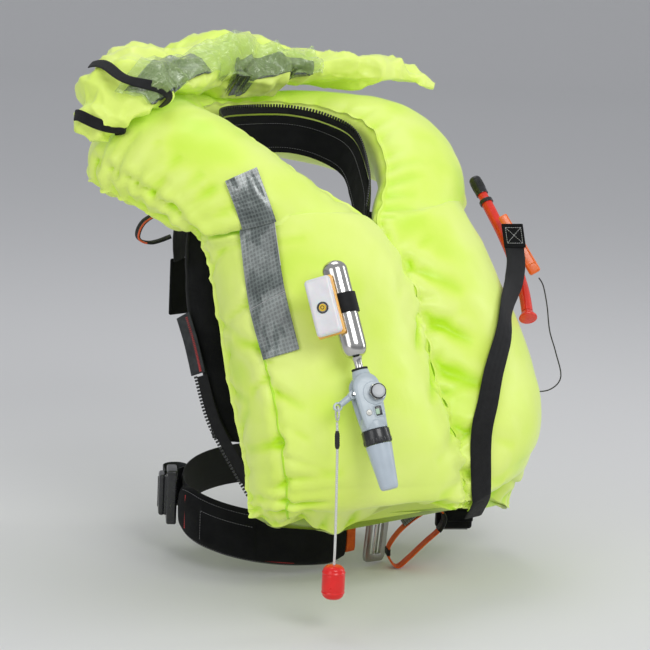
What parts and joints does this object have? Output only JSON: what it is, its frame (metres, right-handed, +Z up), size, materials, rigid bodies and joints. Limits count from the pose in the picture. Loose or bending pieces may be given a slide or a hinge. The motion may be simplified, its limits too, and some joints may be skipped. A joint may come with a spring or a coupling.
{
  "type": "inflated lifejacket with deck harness",
  "caption": "Inflated gas lifejacket with folded sprayhood, deck harness belt and buckle, firing head, cylinder, oral tube, light and whistle.",
  "frame": {"origin": "on the wearer's middle line, at the height where the jacket rests on the shoulders", "axes": "+Z up, -Y towards the wearer's front, -X to the wearer's right"},
  "size_m": [0.525, 0.5276, 0.617],
  "materials": {
    "signal_fabric": "coated satin",
    "reflective_sheet": "retroreflective",
    "clear_film": "clear",
    "black_fabric": "woven",
    "black_webbing": "woven webbing",
    "orange_webbing": "woven webbing",
    "black_plastic": "moulded",
    "steel": "polished",
    "grey_plastic": "moulded",
    "brass_stem": "nickel plated",
    "rubber": "matt",
    "white_plastic": "moulded",
    "indicator_green": "moulded",
    "light_orange": "moulded",
    "button_yellow": "moulded",
    "white_cord": "braided",
    "red_plastic": "moulded",
    "orange_plastic": "moulded",
    "black_cord": "braided"
  },
  "bodies": {
    "jacket": {"bladder": "signal_fabric", "spray_hood": "signal_fabric", "reflective_tape": "reflective_sheet", "hood_reflector": "reflective_sheet", "hood_window": "clear_film", "hood_elastic": "black_fabric", "cover_right": "black_fabric", "cover_left": "black_fabric", "cover_collar": "black_fabric", "zip_tape_right": "black_fabric", "zip_tape_left": "black_fabric", "zip_tape_neck": "black_fabric", "belt_sleeve": "black_fabric", "light_strap": "black_fabric", "strap_pouch": "black_fabric", "tether_sleeve": "black_fabric", "shoulder_strap_right": "black_webbing", "shoulder_strap_left": "black_webbing", "back_yoke": "black_webbing", "back_strap": "black_webbing", "shoulder_loop": "black_webbing", "waist_belt": "black_webbing", "adjuster_tail": "black_webbing", "lift_strap": "black_webbing", "belt_end_tab": "orange_webbing", "tether_loop": "orange_webbing", "adjuster_frame": "black_plastic", "cartridge_ring": "black_plastic", "light_bezel": "black_plastic", "tube_collar": "black_plastic", "adjuster_pin": "steel", "lever_pin": "steel", "firing_spring": "steel", "inflator_body": "grey_plastic", "manifold": "brass_stem", "manifold_seal": "rubber", "sensing_bobbin": "white_plastic", "light_lens": "white_plastic", "status_indicator": "indicator_green", "light_tray": "light_orange", "oral_tube": "red_plastic", "tube_base": "red_plastic", "whistle": "orange_plastic", "whistle_lanyard": "black_cord"},
    "lever": {"inflator_lever": "grey_plastic"},
    "cord": {"cord_loop": "white_cord", "pull_cord": "white_cord", "cord_sleeve": "rubber", "pull_toggle": "red_plastic"},
    "pin": {"piercing_pin": "steel"},
    "cylinder": {"co2_cylinder": "steel"},
    "auto_cap": {"auto_cap": "grey_plastic"},
    "nut": {"manifold_nut": "steel", "nut_cap": "white_plastic"},
    "light_button": {"light_button": "button_yellow"},
    "tube_cap": {"tube_cap": "black_plastic"},
    "tube_valve": {"tube_valve": "white_plastic"},
    "adjuster_lever": {"adjuster_lever": "black_plastic"},
    "buckle": {"steel_buckle": "steel", "buckle_bar": "steel"}
  },
  "joints": [
    {"name": "lever_pull", "type": "hinge", "parent": "jacket", "child": "lever", "pos_m": [-0.1753, -0.2684, -0.1346], "axis": [-0.5071, -0.7754, 0.3763], "range_deg": [0, 42]},
    {"name": "cord_hang", "type": "hinge", "parent": "lever", "child": "cord", "pos_m": [-0.1919, -0.2632, -0.1464], "axis": [-0.5071, -0.7754, 0.3763], "range_deg": [-42, 0]},
    {"name": "pin_strike", "type": "slide", "parent": "jacket", "child": "pin", "axis": [0.03, 0.4204, 0.9068], "range_m": [0, 0.0037]},
    {"name": "cylinder_turn", "type": "hinge", "parent": "jacket", "child": "cylinder", "pos_m": [-0.1625, -0.2771, -0.1353], "axis": [0.03, 0.4204, 0.9068], "continuous": true},
    {"name": "auto_cap_turn", "type": "hinge", "parent": "jacket", "child": "auto_cap", "pos_m": [-0.1625, -0.2771, -0.1353], "axis": [0.03, 0.4204, 0.9068], "continuous": true},
    {"name": "nut_turn", "type": "hinge", "parent": "jacket", "child": "nut", "pos_m": [-0.1627, -0.2926, -0.1282], "axis": [-0.5071, -0.7754, 0.3763], "continuous": true},
    {"name": "light_button_press", "type": "slide", "parent": "jacket", "child": "light_button", "axis": [0.8521, 0.4635, -0.2431], "range_m": [0, 0.0012], "stiffness_N_per_m": 400},
    {"name": "tube_cap_pull", "type": "slide", "parent": "jacket", "child": "tube_cap", "axis": [0.1283, 0.6958, 0.7067], "range_m": [0, 0.026]},
    {"name": "tube_valve_press", "type": "slide", "parent": "jacket", "child": "tube_valve", "axis": [-0.1283, -0.6958, -0.7067], "range_m": [0, 0.003], "stiffness_N_per_m": 150},
    {"name": "adjuster_lever_open", "type": "hinge", "parent": "jacket", "child": "adjuster_lever", "pos_m": [-0.141, 0.0604, -0.3187], "axis": [0, 0, 1], "range_deg": [0, 50]},
    {"name": "buckle_swing", "type": "hinge", "parent": "jacket", "child": "buckle", "pos_m": [0.0412, -0.1149, -0.3573], "axis": [0.1367, 0.0263, 0.9903], "range_deg": [-10, 10]}
  ],
  "couplings": [
    {"joint": "cord_hang", "follows": "lever_pull", "ratio": -1},
    {"joint": "pin_strike", "follows": "lever_pull", "m_per_rad": 0.005}
  ]
}
